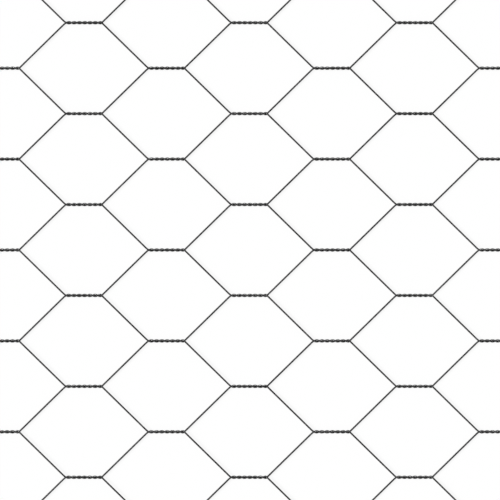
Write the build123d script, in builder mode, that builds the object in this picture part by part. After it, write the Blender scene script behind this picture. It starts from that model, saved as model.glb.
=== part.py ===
from build123d import *
from math import pi, sqrt
import os

# Hexagonal twisted wire netting, a cut piece lying flat.
# X runs along the length of the netting, the way its twists lie, Y across its width and Z up.
# The origin is under the middle of the piece, on the surface that it lies on.
# Each mesh wire zigzags in a lane of its own, and is twisted with the wire of the next lane
# wherever the two meet. The outermost wires are wound round a straight selvedge wire instead.

# Driving dimensions, in millimetres
sheet_length = 1000.0
sheet_width = 350.0
mesh_size = 50.0
twist_length = 19.9
diagonal_run = 25.5
mesh_wire_diameter = 0.9
selvedge_wire_diameter = 1.2
strand_clearance = 0.1

# An odd number of half turns sends each wire back to the side that it came from.
half_turns = 3

# Whole meshes fill the width, and the ends are cut midway between two columns of twists.
lanes = round(sheet_width / (mesh_size / 2))
lane_width = sheet_width / lanes
columns = round(sheet_length / (twist_length + diagonal_run))
column_pitch = sheet_length / columns
run_between_twists = column_pitch - twist_length


def flat_side(diameter):
    """Side of the square wire section with the same area as the round wire."""
    return diameter * sqrt(pi) / 2


mesh_wire_side = flat_side(mesh_wire_diameter)
selvedge_wire_side = flat_side(selvedge_wire_diameter)

# Half the distance between the centres of two twisted wires, and the distance from the
# centre of a selvedge wire to the mesh wire wound round it
pair_offset = (mesh_wire_side + strand_clearance) / 2
wrap_offset = (selvedge_wire_side + mesh_wire_side) / 2 + strand_clearance
mid_height = wrap_offset + mesh_wire_side / 2


def column_x(column):
    """Middle of a column of twists."""
    return (column - (columns - 1) / 2) * column_pitch


def row_y(row):
    """Centre line of a row of twists; rows 0 and lanes are the selvedges."""
    return row * lane_width - sheet_width / 2


def twist_points(column, row, side):
    """Corners of one wire's way through a twist, from left to right.

    side is 1 for a wire that comes in from +Y and -1 for one from -Y. The wire goes from
    corner to corner of a square round the twist's axis, a quarter turn each time.
    """
    offset = wrap_offset if row in (0, lanes) else pair_offset
    lead = offset * run_between_twists / lane_width
    start = column_x(column) - twist_length / 2 + lead
    step = (twist_length - 2 * lead) / (2 * half_turns - 1)
    quarter_turns = [(-1, 1), (-1, -1), (1, -1), (1, 1)]
    points = []
    for corner in range(2 * half_turns):
        across, up = quarter_turns[corner % 4]
        y = row_y(row) + side * across * offset
        z = mid_height + side * up * offset
        points.append(Vector(start + corner * step, y, z))
    return points


def cut_end(inner, outer, x):
    """Point where the line from inner towards outer meets the cut at x."""
    return inner + (outer - inner) * ((x - inner.X) / (outer.X - inner.X))


def mesh_wire_points(lane):
    """Centre line of the mesh wire in a lane, from one cut end to the other."""
    points = []
    for column in range(-1, columns + 1):
        low_swing = (lane + column) % 2 == 0
        row = lane if low_swing else lane + 1
        points.append(twist_points(column, row, 1 if low_swing else -1))
    left = cut_end(points[1][0], points[0][-1], -sheet_length / 2)
    right = cut_end(points[-2][-1], points[-1][0], sheet_length / 2)
    middle = [point for twist in points[1:-1] for point in twist]
    return [left] + middle + [right]


def plan_direction(start, end):
    """Unit vector from start to end, seen from above."""
    return Vector(end.X - start.X, end.Y - start.Y, 0).normalized()


def wire_sections(points):
    """Plane and width of the wire's section at each point, mitred at the corners.

    Every section stands upright, and both ends are cut square to the length of the netting.
    """
    directions = [plan_direction(a, b) for a, b in zip(points, points[1:])]
    normals = [(a + b).normalized() for a, b in zip(directions, directions[1:])]
    normals = [Vector(1, 0, 0)] + normals + [Vector(1, 0, 0)]
    directions = directions + directions[-1:]
    for point, normal, direction in zip(points, normals, directions):
        width = mesh_wire_side / normal.dot(direction)
        yield Plane(point, x_dir=Vector(-normal.Y, normal.X, 0), z_dir=normal), width


os.makedirs("parts", exist_ok=True)

# Mesh wires, counted from the front selvedge
for lane in range(lanes):
    with BuildPart() as mesh_wire:
        for plane, width in wire_sections(mesh_wire_points(lane)):
            with BuildSketch(plane):
                Rectangle(width, mesh_wire_side)
        loft(ruled=True)
    mesh_wire.part.label = f"mesh_wire_{lane + 1:02d}"
    export_step(mesh_wire.part, f"parts/{mesh_wire.part.label}.step")

# Straight selvedge wires along both long edges
for edge_name, row in (("front", 0), ("back", lanes)):
    with BuildPart() as selvedge_wire:
        with BuildSketch(Plane.YZ.offset(-sheet_length / 2)):
            with Locations((row_y(row), mid_height)):
                Rectangle(selvedge_wire_side, selvedge_wire_side)
        extrude(amount=sheet_length)
    selvedge_wire.part.label = f"selvedge_wire_{edge_name}"
    export_step(selvedge_wire.part, f"parts/{selvedge_wire.part.label}.step")
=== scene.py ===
from math import cos, pi, radians, sin

import bpy
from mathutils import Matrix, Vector


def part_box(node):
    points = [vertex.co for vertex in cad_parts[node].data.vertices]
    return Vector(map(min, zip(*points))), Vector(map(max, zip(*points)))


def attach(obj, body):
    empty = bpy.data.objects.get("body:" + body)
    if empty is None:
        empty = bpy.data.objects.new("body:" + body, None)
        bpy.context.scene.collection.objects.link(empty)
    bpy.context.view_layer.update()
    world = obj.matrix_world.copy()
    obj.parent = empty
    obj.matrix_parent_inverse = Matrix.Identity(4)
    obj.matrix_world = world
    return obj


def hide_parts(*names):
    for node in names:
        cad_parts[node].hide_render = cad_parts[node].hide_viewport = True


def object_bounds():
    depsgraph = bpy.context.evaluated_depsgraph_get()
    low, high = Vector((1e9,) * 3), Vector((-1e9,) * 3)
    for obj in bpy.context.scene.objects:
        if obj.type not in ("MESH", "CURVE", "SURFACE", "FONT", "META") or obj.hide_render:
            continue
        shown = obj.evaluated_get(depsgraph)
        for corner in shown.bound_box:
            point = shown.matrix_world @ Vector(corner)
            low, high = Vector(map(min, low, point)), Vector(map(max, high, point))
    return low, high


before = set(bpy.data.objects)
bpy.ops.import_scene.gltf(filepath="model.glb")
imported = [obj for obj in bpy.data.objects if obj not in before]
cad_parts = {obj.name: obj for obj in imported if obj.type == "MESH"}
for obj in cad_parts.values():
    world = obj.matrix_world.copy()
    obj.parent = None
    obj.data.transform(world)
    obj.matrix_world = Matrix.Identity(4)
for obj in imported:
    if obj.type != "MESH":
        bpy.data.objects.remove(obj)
cad_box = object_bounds()

# A flat cut piece of hexagonal twisted wire netting, in metres.
# X runs along the netting, the way its twists lie, Y across it from selvedge to selvedge, Z up.
MM = 0.001

# The netting's own sizes: its wires as drawn steel, and with the zinc that the hot bath leaves on them
MESH_WIRE_STEEL = 0.9 * MM
SELVEDGE_WIRE_STEEL = 1.2 * MM
ZINC_COAT = 0.025 * MM
MESH_WIRE_DIAMETER = MESH_WIRE_STEEL + 2 * ZINC_COAT
SELVEDGE_WIRE_DIAMETER = SELVEDGE_WIRE_STEEL + 2 * ZINC_COAT

# A twist and a diagonal, both measured along the netting. The odd number of half turns sends each
# strand back to the side that it came from.
TWIST_LENGTH = 19.9 * MM
DIAGONAL_RUN = 25.5 * MM
HALF_TURNS = 7

# The turns sit a little to the right in every twist. The left lead is from where the diagonals
# would meet to where the strands first lie side by side. The strands bend into the even turns
# there, and at the right end the last quarter turn is short.
HALF_TURN_LENGTH = 2.9 * MM
LEFT_LEAD = 1.8 * MM
LEFT_BEND = 1.6 * MM

# The shears pinch the cut ends over their last stretch, to these shares of their thickness and width.
SHEARED_LENGTH = 0.8 * MM
SHEARED_THICKNESS = 0.3
SHEARED_WIDTH = 1.35

# The zinc's finish: how far apart its flecks are, its grain, its slow change from place to place, the
# streaks that the die and the wiping leave along the wire, and how deep all of them are
FLECK_SPACING = 0.9 * MM
GRAIN_SIZE = 0.15 * MM
SLOW_CHANGE = 60 * MM
STREAK_WIDTH = 0.15 * MM
STREAK_LENGTH = 5 * MM
PATINA_DEPTH = 0.05 * MM

# How finely the wires are drawn, and how near the ends of two swings are to count as one point
SECTION_SIDES = 14
STEPS_PER_HALF_TURN = 8
LEAD_STEPS = 4
BEND_STEPS = 4
JOINING_DISTANCE = 0.01 * MM

# The map that the finish can be laid out on, and the share of its strips that is drawn on
FINISH_MAP = "OFBake"
STRIP_LENGTH_USED = 0.996
STRIP_HEIGHT_USED = 0.94

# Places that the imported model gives
sheet_length = cad_box[1].x - cad_box[0].x
lanes = sum(name.startswith("mesh_wire_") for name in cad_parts)
front_low, front_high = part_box("selvedge_wire_front")
back_low, back_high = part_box("selvedge_wire_back")
front_y = (front_low.y + front_high.y) / 2
back_y = (back_low.y + back_high.y) / 2
floor_z = cad_box[0].z

lane_width = (back_y - front_y) / lanes
columns = round(sheet_length / (TWIST_LENGTH + DIAGONAL_RUN))
column_pitch = sheet_length / columns
diagonal_slope = lane_width / (column_pitch - TWIST_LENGTH)

# Strands that are twisted together touch along the twist's axis, and a strand that is wound round
# a selvedge wire touches that. The netting lies on the lowest of these windings.
pair_radius = MESH_WIRE_DIAMETER / 2
wrap_radius = (MESH_WIRE_DIAMETER + SELVEDGE_WIRE_DIAMETER) / 2
mid_height = floor_z + wrap_radius + MESH_WIRE_DIAMETER / 2


def colour(hex_code, alpha=1.0):
    """An sRGB hex code as a linear colour."""
    channels = []
    for start in (1, 3, 5):
        value = int(hex_code[start:start + 2], 16) / 255
        channels.append(value / 12.92 if value <= 0.04045 else ((value + 0.055) / 1.055) ** 2.4)
    return (*channels, alpha)


def add_node(tree, kind, sockets=None, **settings):
    """Adds a node with its settings, and gives its sockets values or links."""
    node = tree.nodes.new(kind)
    for name, value in settings.items():
        setattr(node, name, value)
    for socket, value in (sockets or {}).items():
        if isinstance(value, bpy.types.NodeSocket):
            tree.links.new(value, node.inputs[socket])
        else:
            node.inputs[socket].default_value = value
    return node


def new_tree(name, inputs):
    """An empty geometry tree with a geometry output and the named inputs."""
    tree = bpy.data.node_groups.new(name, "GeometryNodeTree")
    tree.interface.new_socket("Geometry", in_out="OUTPUT", socket_type="NodeSocketGeometry")
    for label, kind in inputs:
        tree.interface.new_socket(label, in_out="INPUT", socket_type=kind)
    return tree, tree.nodes.new("NodeGroupInput").outputs


# Materials

def seen_directly(tree):
    """1 for what the camera sees itself, or in a reflection or through glass, and 0 for lighting."""
    path = add_node(tree, "ShaderNodeLightPath").outputs
    seen = add_node(tree, "ShaderNodeMath", {0: path["Is Camera Ray"], 1: path["Is Glossy Ray"]},
                    operation="MAXIMUM")
    return add_node(tree, "ShaderNodeMath", {0: seen.outputs[0], 1: path["Is Transmission Ray"]},
                    operation="MAXIMUM").outputs[0]


def galvanised_wire():
    """Drawn steel wire, hot-dip galvanised and dulled by age.

    The zinc is a neutral grey, weathered dark. Its patina is mottled, with lighter flecks that shine
    a little more. The die and the wiping after the bath leave fine streaks along the wire, and
    where two strands touch it is darkened with painted shade and dirt.
    """
    material = bpy.data.materials.new("hot_dip_galvanised_wire")
    material.use_nodes = True
    tree = material.node_tree
    shader = tree.nodes["Principled BSDF"]

    place = add_node(tree, "ShaderNodeTexCoord").outputs["Object"]
    flecks = add_node(tree, "ShaderNodeTexNoise",
                      {"Vector": place, "Scale": 1 / FLECK_SPACING, "Detail": 2.0})
    grain = add_node(tree, "ShaderNodeTexNoise", {"Vector": place, "Scale": 1 / GRAIN_SIZE, "Detail": 1.0})
    slow = add_node(tree, "ShaderNodeTexNoise", {"Vector": place, "Scale": 1 / SLOW_CHANGE, "Detail": 1.0})

    # The place in the wire's section gives a streak its width. The way along the wire is shortened, which
    # draws the streaks out to their length.
    section = add_node(tree, "ShaderNodeAttribute", attribute_name="section").outputs["Vector"]
    along = add_node(tree, "ShaderNodeAttribute", attribute_name="along").outputs["Fac"]
    shortened = add_node(tree, "ShaderNodeMath", {0: along, 1: STREAK_WIDTH / STREAK_LENGTH},
                         operation="MULTIPLY")
    length = add_node(tree, "ShaderNodeCombineXYZ", {"Z": shortened.outputs[0]})
    streak_place = add_node(tree, "ShaderNodeVectorMath", {0: section, 1: length.outputs[0]},
                            operation="ADD")
    streaks = add_node(tree, "ShaderNodeTexNoise",
                       {"Vector": streak_place.outputs[0], "Scale": 1 / STREAK_WIDTH, "Detail": 1.0})

    tone = flecks.outputs["Fac"]
    for pattern, share in ((grain, 0.25), (streaks, 0.45), (slow, 0.12)):
        mixed = add_node(tree, "ShaderNodeMix", {"Factor": share, "A": tone, "B": pattern.outputs["Fac"]})
        tone = mixed.outputs[0]
    zinc = add_node(tree, "ShaderNodeValToRGB", {"Fac": tone})
    stops = zinc.color_ramp.elements
    stops[0].position = 0.40
    stops[0].color = colour("#2d2d2d")
    stops[1].position = 0.62
    stops[1].color = colour("#666666")
    middle = stops.new(0.52)
    middle.color = colour("#3c3c3c")

    # Painted shade, together with dirt: the wire is darkened towards #262626 where its surface faces the
    # strand or selvedge wire that it touches.
    crevice = add_node(tree, "ShaderNodeAttribute", attribute_name="crevice").outputs["Fac"]
    shade_and_dirt = add_node(tree, "ShaderNodeMapRange", {"Value": crevice, "From Min": 0.6, "From Max": 1.0})
    # Inputs 6 and 7 and output 2 are the ones for colours.
    shaded_and_dirty = add_node(tree, "ShaderNodeMix",
                     {0: shade_and_dirt.outputs[0], 6: zinc.outputs["Color"], 7: colour("#262626")},
                     data_type="RGBA")
    tree.links.new(shaded_and_dirty.outputs[2], shader.inputs["Base Color"])

    roughness = add_node(tree, "ShaderNodeMapRange", {"Value": tone, "From Min": 0.4, "From Max": 0.64,
                                                      "To Min": 0.42, "To Max": 0.22})
    tree.links.new(roughness.outputs[0], shader.inputs["Roughness"])
    shader.inputs["Metallic"].default_value = 1.0

    bump = add_node(tree, "ShaderNodeBump", {"Height": tone, "Strength": 0.9, "Distance": PATINA_DEPTH})
    tree.links.new(bump.outputs[0], shader.inputs["Normal"])
    return material


def white_floor(even_share):
    """Matt white paper under even light, which makes up the given share of what is seen.

    The rest takes the light of the scene, so that only a faint shadow shows.
    """
    material = bpy.data.materials.new("matt_white_paper")
    material.use_nodes = True
    tree = material.node_tree
    tree.nodes.clear()
    paper = add_node(tree, "ShaderNodeBsdfDiffuse", {"Color": colour("#f4f4f4")})
    white = add_node(tree, "ShaderNodeEmission", {"Strength": 1.0})
    share = add_node(tree, "ShaderNodeMath", {0: seen_directly(tree), 1: even_share}, operation="MULTIPLY")
    mix = add_node(tree, "ShaderNodeMixShader",
                   {0: share.outputs[0], 1: paper.outputs[0], 2: white.outputs[0]})
    add_node(tree, "ShaderNodeOutputMaterial", {"Surface": mix.outputs[0]})
    return material


# Geometry trees

# What both trees ask for besides the path of the wire
WIRE_INPUTS = [
    ("Wire diameter", "NodeSocketFloat"), ("Sides", "NodeSocketInt"), ("Columns", "NodeSocketInt"),
    ("Column pitch", "NodeSocketFloat"), ("Sheared length", "NodeSocketFloat"),
    ("Sheared thickness", "NodeSocketFloat"), ("Sheared width", "NodeSocketFloat"),
    ("Material", "NodeSocketMaterial")]


def place_on_map(tree, given, centre, section):
    """Where a face's corner lies on the wire's map, whose strips lie one above the other.

    Each column has its strip, as long as the column and as high as the way round the wire.
    """
    x = add_node(tree, "ShaderNodeSeparateXYZ", {0: centre}).outputs["X"]
    middle = add_node(tree, "ShaderNodeMath", {0: given["Columns"], 1: 0.5}, operation="MULTIPLY")
    from_middle = add_node(tree, "ShaderNodeMath", {0: x, 1: given["Column pitch"]}, operation="DIVIDE")
    passed = add_node(tree, "ShaderNodeMath", {0: from_middle.outputs[0], 1: middle.outputs[0]},
                      operation="ADD")
    face_passed = add_node(tree, "GeometryNodeFieldOnDomain", {"Value": passed.outputs[0]}, domain="FACE")
    strip = add_node(tree, "ShaderNodeMath", {0: face_passed.outputs[0]}, operation="FLOOR")
    along = add_node(tree, "ShaderNodeMath", {0: passed.outputs[0], 1: strip.outputs[0]},
                     operation="SUBTRACT")

    # The way round is measured from the face's middle, so that the last face doesn't run back to
    # the first.
    face_section = add_node(tree, "GeometryNodeFieldOnDomain", {"Value": section}, domain="FACE",
                            data_type="FLOAT_VECTOR")
    turned = []
    for vector in (section, face_section.outputs[0]):
        part = add_node(tree, "ShaderNodeSeparateXYZ", {0: vector}).outputs
        angle = add_node(tree, "ShaderNodeMath", {0: part["Y"], 1: part["X"]}, operation="ARCTAN2")
        turned.append(angle.outputs[0])
    beyond = add_node(tree, "ShaderNodeMath", {0: turned[0], 1: turned[1]}, operation="SUBTRACT")
    nearest = add_node(tree, "ShaderNodeMath", {0: beyond.outputs[0], 1: pi, 2: -pi}, operation="WRAP")
    way_round = add_node(tree, "ShaderNodeMath", {0: turned[1], 1: nearest.outputs[0]}, operation="ADD")
    height_margin = (1 - STRIP_HEIGHT_USED) / 2
    in_strip = add_node(tree, "ShaderNodeMapRange",
                        {"Value": way_round.outputs[0], "From Min": -pi, "From Max": pi,
                         "To Min": height_margin, "To Max": 1 - height_margin}, clamp=False)
    height = add_node(tree, "ShaderNodeMath", {0: strip.outputs[0], 1: in_strip.outputs[0]},
                      operation="ADD")

    length_margin = (1 - STRIP_LENGTH_USED) / 2
    across = add_node(tree, "ShaderNodeMath", {0: along.outputs[0], 1: STRIP_LENGTH_USED, 2: length_margin},
                      operation="MULTIPLY_ADD")
    up = add_node(tree, "ShaderNodeMath", {0: height.outputs[0], 1: given["Columns"]}, operation="DIVIDE")
    return add_node(tree, "ShaderNodeCombineXYZ", {"X": across.outputs[0], "Y": up.outputs[0]}).outputs[0]


def swept_wire_tree():
    """Gives a path its round wire, with sheared ends."""
    tree, given = new_tree("swept_wire", [("Path", "NodeSocketGeometry"), *WIRE_INPUTS])

    curve = add_node(tree, "GeometryNodeMeshToCurve", {"Mesh": given["Path"]})
    curve = add_node(tree, "GeometryNodeSetCurveNormal", {"Curve": curve.outputs[0]}, mode="Z_UP")
    travelled = add_node(tree, "GeometryNodeSplineParameter").outputs["Length"]
    whole = add_node(tree, "GeometryNodeSplineLength").outputs["Length"]
    left = add_node(tree, "ShaderNodeMath", {0: whole, 1: travelled}, operation="SUBTRACT")
    from_end = add_node(tree, "ShaderNodeMath", {0: travelled, 1: left.outputs[0]}, operation="MINIMUM")
    position = add_node(tree, "GeometryNodeInputPosition").outputs[0]
    path = add_node(tree, "GeometryNodeCaptureAttribute")
    path.capture_items.new("VECTOR", "Centre")
    path.capture_items.new("FLOAT", "Travelled")
    path.capture_items.new("FLOAT", "From end")
    for socket, value in (("Geometry", curve.outputs[0]), ("Centre", position), ("Travelled", travelled),
                          ("From end", from_end.outputs[0])):
        tree.links.new(value, path.inputs[socket])

    radius = add_node(tree, "ShaderNodeMath", {0: given["Wire diameter"], 1: 0.5}, operation="MULTIPLY")
    circle = add_node(tree, "GeometryNodeCurvePrimitiveCircle",
                      {"Resolution": given["Sides"], "Radius": radius.outputs[0]})
    section = add_node(tree, "GeometryNodeCaptureAttribute")
    section.capture_items.new("VECTOR", "Section")
    tree.links.new(circle.outputs[0], section.inputs["Geometry"])
    tree.links.new(position, section.inputs["Section"])
    wire = add_node(tree, "GeometryNodeCurveToMesh",
                    {"Curve": path.outputs["Geometry"], "Profile Curve": section.outputs["Geometry"],
                     "Fill Caps": True})

    # The shears flatten an end and spread it sideways.
    full = {"Value": path.outputs["From end"], "From Max": given["Sheared length"], "To Max": 1.0}
    flat = add_node(tree, "ShaderNodeMapRange", {**full, "To Min": given["Sheared thickness"]})
    wide = add_node(tree, "ShaderNodeMapRange", {**full, "To Min": given["Sheared width"]})
    pinch = add_node(tree, "ShaderNodeCombineXYZ",
                     {"X": wide.outputs[0], "Y": wide.outputs[0], "Z": flat.outputs[0]})
    offset = add_node(tree, "ShaderNodeVectorMath", {0: position, 1: path.outputs["Centre"]},
                      operation="SUBTRACT")
    placed = add_node(tree, "ShaderNodeVectorMath",
                      {0: offset.outputs[0], 1: pinch.outputs[0], 2: path.outputs["Centre"]},
                      operation="MULTIPLY_ADD")
    wire = add_node(tree, "GeometryNodeSetPosition",
                    {"Geometry": wire.outputs[0], "Position": placed.outputs[0]})

    # What the material follows: the way along the wire, the place in its section, and how
    # squarely the surface faces the strand or selvedge wire beside it
    toward = add_node(tree, "GeometryNodeInputNamedAttribute", {"Name": "toward"},
                      data_type="FLOAT_VECTOR")
    normal = add_node(tree, "GeometryNodeInputNormal").outputs[0]
    facing = add_node(tree, "ShaderNodeVectorMath", {0: normal, 1: toward.outputs[0]},
                      operation="DOT_PRODUCT")
    crevice = add_node(tree, "ShaderNodeMath", {0: facing.outputs["Value"], 1: 0.0}, operation="MAXIMUM")
    on_map = place_on_map(tree, given, path.outputs["Centre"], section.outputs["Section"])
    for name, kind, domain, value in (("along", "FLOAT", "POINT", path.outputs["Travelled"]),
                                      ("section", "FLOAT_VECTOR", "POINT", section.outputs["Section"]),
                                      ("crevice", "FLOAT", "POINT", crevice.outputs[0]),
                                      (FINISH_MAP, "FLOAT2", "CORNER", on_map)):
        wire = add_node(tree, "GeometryNodeStoreNamedAttribute",
                        {"Geometry": wire.outputs[0], "Name": name}, data_type=kind, domain=domain)
        tree.links.new(value, wire.inputs["Value"])
    wire = add_node(tree, "GeometryNodeRemoveAttribute", {"Geometry": wire.outputs[0], "Name": "toward"})

    # Round all the way, with a sharp edge only where the wire is cut
    wire = add_node(tree, "GeometryNodeSetShadeSmooth", {"Geometry": wire.outputs[0]}, domain="FACE")
    bend = add_node(tree, "GeometryNodeInputMeshEdgeAngle").outputs["Unsigned Angle"]
    cut_edge = add_node(tree, "FunctionNodeCompare", {"A": bend, "B": pi / 4}, operation="GREATER_THAN")
    wire = add_node(tree, "GeometryNodeSetShadeSmooth",
                    {"Geometry": wire.outputs[0], "Selection": cut_edge.outputs[0], "Shade Smooth": False},
                    domain="EDGE")
    wire = add_node(tree, "GeometryNodeRealizeInstances", {"Geometry": wire.outputs[0]})
    wire = add_node(tree, "GeometryNodeSetMaterial",
                    {"Geometry": wire.outputs[0], "Material": given["Material"]})
    add_node(tree, "NodeGroupOutput", {0: wire.outputs[0]})
    return tree


def mesh_wire_tree(sweep):
    """Lays low and high swings by turns along the columns, joins them and gives them their wire."""
    tree, given = new_tree("mesh_wire", [
        ("Low swing", "NodeSocketGeometry"), ("High swing", "NodeSocketObject"),
        ("High swing first", "NodeSocketBool"), *WIRE_INPUTS])

    gaps = add_node(tree, "ShaderNodeMath", {0: given["Columns"], 1: 1.0}, operation="SUBTRACT")
    span = add_node(tree, "ShaderNodeMath", {0: gaps.outputs[0], 1: given["Column pitch"]},
                    operation="MULTIPLY")
    first = add_node(tree, "ShaderNodeMath", {0: span.outputs[0], 1: -0.5}, operation="MULTIPLY")
    start = add_node(tree, "ShaderNodeCombineXYZ", {"X": first.outputs[0]})
    step = add_node(tree, "ShaderNodeCombineXYZ", {"X": given["Column pitch"]})
    middles = add_node(tree, "GeometryNodeMeshLine",
                       {"Count": given["Columns"], "Start Location": start.outputs[0],
                        "Offset": step.outputs[0]})

    number = add_node(tree, "GeometryNodeInputIndex").outputs[0]
    counted = add_node(tree, "ShaderNodeMath", {0: number, 1: given["High swing first"]}, operation="ADD")
    odd = add_node(tree, "ShaderNodeMath", {0: counted.outputs[0], 1: 2.0}, operation="MODULO")
    is_high = add_node(tree, "FunctionNodeCompare", {"A": odd.outputs[0], "B": 0.5},
                       operation="GREATER_THAN")
    is_low = add_node(tree, "FunctionNodeBooleanMath", {0: is_high.outputs[0]}, operation="NOT")

    high_swing = add_node(tree, "GeometryNodeObjectInfo", {"Object": given["High swing"]})
    swings = add_node(tree, "GeometryNodeJoinGeometry")
    for selection, one_swing in ((is_low.outputs[0], given["Low swing"]),
                                 (is_high.outputs[0], high_swing.outputs["Geometry"])):
        laid = add_node(tree, "GeometryNodeInstanceOnPoints",
                        {"Points": middles.outputs[0], "Selection": selection, "Instance": one_swing})
        tree.links.new(laid.outputs[0], swings.inputs[0])
    path = add_node(tree, "GeometryNodeRealizeInstances", {"Geometry": swings.outputs[0]})
    path = add_node(tree, "GeometryNodeMergeByDistance",
                    {"Geometry": path.outputs[0], "Distance": JOINING_DISTANCE})

    wire = add_node(tree, "GeometryNodeGroup", node_tree=sweep)
    tree.links.new(path.outputs[0], wire.inputs["Path"])
    for label, kind in WIRE_INPUTS:
        tree.links.new(given[label], wire.inputs[label])
    wire = add_node(tree, "GeometryNodeRealizeInstances", {"Geometry": wire.outputs[0]})
    wire = add_node(tree, "GeometryNodeSetMaterial",
                    {"Geometry": wire.outputs[0], "Material": given["Material"]})
    add_node(tree, "NodeGroupOutput", {0: wire.outputs[0]})
    return tree


# Paths of the wires

def quarter_turn(part, lead, outer_rate, even_rate):
    """Angle turned at a part of a twist's first or last quarter turn, counted from its outer end.

    It grows as a cubic, at the outer rate where the turn begins and at the even rate where it ends.
    """
    outer = (part ** 3 - 2 * part ** 2 + part) * lead * outer_rate
    inner = (part ** 3 - part ** 2) * lead * even_rate
    return outer + inner + (3 * part ** 2 - 2 * part ** 3) * pi / 2


def left_crossing(radius):
    """Where the strands cross at a twist's left end, and how steeply."""
    slope = min(pi / HALF_TURN_LENGTH * radius, diagonal_slope)
    return -TWIST_LENGTH / 2 + LEFT_BEND / 2 * (1 - slope / diagonal_slope), slope


def twist_course(radius):
    """Places along a twist, from left to right, each with the angle that a strand has turned there."""
    crossing, slope = left_crossing(radius)
    even_rate = pi / HALF_TURN_LENGTH
    first_beside = LEFT_LEAD - TWIST_LENGTH / 2
    last_beside = first_beside + (HALF_TURNS - 1) * HALF_TURN_LENGTH
    left_lead = first_beside - crossing
    right_lead = TWIST_LENGTH / 2 - last_beside
    parts = [step / LEAD_STEPS for step in range(LEAD_STEPS)]
    course = []
    for part in parts:
        turned = quarter_turn(part, left_lead, slope / radius, even_rate)
        course.append((crossing + left_lead * part, turned))
    for step in range((HALF_TURNS - 1) * STEPS_PER_HALF_TURN + 1):
        half_turns = step / STEPS_PER_HALF_TURN
        course.append((first_beside + half_turns * HALF_TURN_LENGTH, pi / 2 + half_turns * pi))
    for part in reversed(parts):
        remaining = quarter_turn(part, right_lead, diagonal_slope / radius, even_rate)
        course.append((TWIST_LENGTH / 2 - right_lead * part, HALF_TURNS * pi - remaining))
    return course


def swing(row, side, radius, other_radius):
    """A strand's way from mid-diagonal through its twist at a row to the next mid-diagonal.

    side is 1 for a low swing, which comes from +Y and goes back there, and -1 for a high swing,
    which is the same way turned half round. The path is a line of edges with the column's middle
    at X 0. Its attribute toward points from the strand to the axis that it turns round.
    """
    level = (radius + other_radius) / 2
    half_run = (column_pitch - TWIST_LENGTH) / 2
    crossing, slope = left_crossing(radius)
    points = []
    toward = []

    def add_point(x, y, z, facing=(0.0, 0.0)):
        points.append((x, front_y + row * lane_width + side * y, mid_height + side * z))
        toward.append((0.0, side * facing[0], side * facing[1]))

    def height(x):
        distance = max(abs(x) - TWIST_LENGTH / 2, 0.0)
        return radius + (level - radius) * distance / half_run

    # A diagonal's stations are its middle, where the netting may be cut, the inner end of the stretch
    # that the shears pinch there, and the place halfway from its middle to the twist.
    stations = (half_run, half_run - SHEARED_LENGTH, half_run / 2)
    for distance in stations:
        x = -TWIST_LENGTH / 2 - distance
        add_point(x, diagonal_slope * distance, height(x))
    for step in range(BEND_STEPS):
        before = LEFT_BEND * (1 - step / BEND_STEPS)
        x = crossing - before
        y = slope * before + (diagonal_slope - slope) * before ** 2 / (2 * LEFT_BEND)
        add_point(x, y, height(x))
    for x, turned in twist_course(radius):
        across = -sin(turned)
        up = cos(turned)
        add_point(x, radius * across, radius * up, (-across, -up))
    for distance in (MESH_WIRE_DIAMETER, *reversed(stations)):
        x = TWIST_LENGTH / 2 + distance
        add_point(x, diagonal_slope * distance, -height(x))

    mesh = bpy.data.meshes.new("swing")
    mesh.from_pydata(points, [(n, n + 1) for n in range(len(points) - 1)], [])
    attribute = mesh.attributes.new("toward", "FLOAT_VECTOR", "POINT")
    attribute.data.foreach_set("vector", [value for vector in toward for value in vector])
    return mesh


def link(name, data):
    """A new object at the origin."""
    piece = bpy.data.objects.new(name, data)
    bpy.context.scene.collection.objects.link(piece)
    return piece


def made_by_tree(name, path, tree, **inputs):
    """The plain mesh piece that a geometry tree makes of a path."""
    maker = link(f"{name}_path", path)
    modifier = maker.modifiers.new("maker", "NODES")
    modifier.node_group = tree
    identifiers = {item.name: item.identifier for item in tree.interface.items_tree}
    for label, value in inputs.items():
        modifier[identifiers[label.replace("_", " ")]] = value
    evaluated = maker.evaluated_get(bpy.context.evaluated_depsgraph_get())
    mesh = bpy.data.meshes.new_from_object(evaluated)
    maker.modifiers.remove(modifier)
    bpy.data.objects.remove(maker)
    mesh.name = name
    return link(name, mesh)


def finish_piece(piece, node):
    """Puts a piece in the place of its node, on the netting's one body."""
    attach(piece, "root")
    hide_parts(node)


sweep_tree = swept_wire_tree()
netting_tree = mesh_wire_tree(sweep_tree)
alike = {
    "Sides": SECTION_SIDES,
    "Columns": columns,
    "Column_pitch": column_pitch,
    "Sheared_length": SHEARED_LENGTH,
    "Sheared_thickness": SHEARED_THICKNESS,
    "Sheared_width": SHEARED_WIDTH,
    "Material": galvanised_wire(),
}

# Mesh wires, counted from the front selvedge. Wire and twists alternate from lane to lane,
# and the outermost wires are wound round the selvedge wires.
for lane in range(lanes):
    low_radius = wrap_radius if lane == 0 else pair_radius
    high_radius = wrap_radius if lane == lanes - 1 else pair_radius
    low_swing = swing(lane, 1, low_radius, high_radius)
    high_swing = link("high_swing", swing(lane + 1, -1, high_radius, low_radius))
    wire = made_by_tree(f"twisted_wire_{lane + 1:02d}", low_swing, netting_tree, High_swing=high_swing,
                        High_swing_first=lane % 2 == 1, Wire_diameter=MESH_WIRE_DIAMETER, **alike)
    bpy.data.objects.remove(high_swing)
    finish_piece(wire, f"mesh_wire_{lane + 1:02d}")

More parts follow.
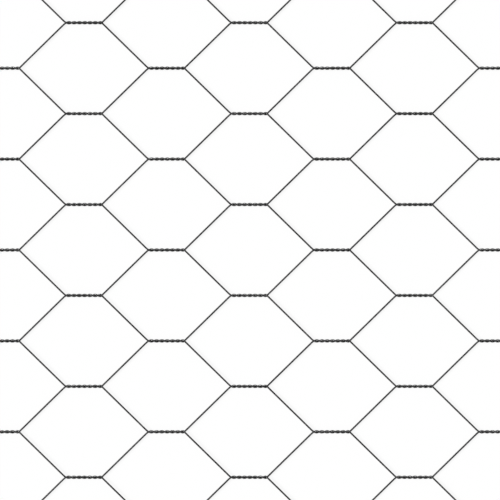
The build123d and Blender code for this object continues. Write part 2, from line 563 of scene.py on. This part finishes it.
# Straight wires along both edges, with a station wherever two columns meet
reach = sheet_length / 2
between_columns = [column * column_pitch - reach for column in range(1, columns)]
stations = [-reach, SHEARED_LENGTH - reach, *between_columns, reach - SHEARED_LENGTH, reach]
for edge, y in (("front", front_y), ("back", back_y)):
    path = bpy.data.meshes.new("edge")
    edges = [(n, n + 1) for n in range(len(stations) - 1)]
    path.from_pydata([(x, y, mid_height) for x in stations], edges, [])
    wire = made_by_tree(f"edge_wire_{edge}", path, sweep_tree,
                        Wire_diameter=SELVEDGE_WIRE_DIAMETER, **alike)
    finish_piece(wire, f"selvedge_wire_{edge}")

# Floor, light and camera

FLOOR_SIDE = 12.0
FLOOR_EVEN_SHARE = 0.88
half = FLOOR_SIDE / 2
corners = [(-half, -half, floor_z), (half, -half, floor_z), (half, half, floor_z), (-half, half, floor_z)]
floor_mesh = bpy.data.meshes.new("floor")
floor_mesh.from_pydata(corners, [], [(0, 1, 2, 3)])
floor_mesh.materials.append(white_floor(FLOOR_EVEN_SHARE))
floor = link("floor", floor_mesh)

# The world is white where it is seen, and softer where it only lights.
FILL = 0.5
world = bpy.data.worlds.new("white_room")
bpy.context.scene.world = world
world.use_nodes = True
seen = seen_directly(world.node_tree)
strength = add_node(world.node_tree, "ShaderNodeMapRange", {"Value": seen, "To Min": FILL, "To Max": 1.0})
background = world.node_tree.nodes["Background"]
background.inputs["Color"].default_value = colour("#ffffff")
world.node_tree.links.new(strength.outputs[0], background.inputs["Strength"])

# A broad soft light from the left and a little behind, about halfway up
LIGHT_ANGLE = radians(24)
LIGHT_STRENGTH = 2.85
LIGHT_FROM = Vector((-1.0, 0.15, 0.9))
soft_light = bpy.data.lights.new("soft_light", "SUN")
soft_light.angle = LIGHT_ANGLE
soft_light.energy = LIGHT_STRENGTH
light_object = link("soft_light", soft_light)
light_object.rotation_euler = LIGHT_FROM.to_track_quat("Z", "Y").to_euler()

# The camera looks straight down with +Y up in the picture. In the photograph, 275 mm of netting fill
# the 500 pixels of its width. The middle of a mesh, which is also that of a column, lies 1.1 pixels
# left of the picture's middle.
PICTURE_WIDTH = 275.0 * MM
PICTURE_PIXELS = 500
MESH_MIDDLE_COLUMN = 10
MESH_MIDDLE_PIXELS_LEFT = 1.1
LENS = 200
mesh_middle_x = (MESH_MIDDLE_COLUMN - (columns - 1) / 2) * column_pitch
picture_middle_x = mesh_middle_x + MESH_MIDDLE_PIXELS_LEFT * PICTURE_WIDTH / PICTURE_PIXELS
camera_data = bpy.data.cameras.new("camera")
camera_data.lens = LENS
camera = link("camera", camera_data)
distance = PICTURE_WIDTH * LENS / camera_data.sensor_width
camera.location = (picture_middle_x, (front_y + back_y) / 2, mid_height + distance)
bpy.context.scene.camera = camera
bpy.context.scene.view_settings.view_transform = "Standard"
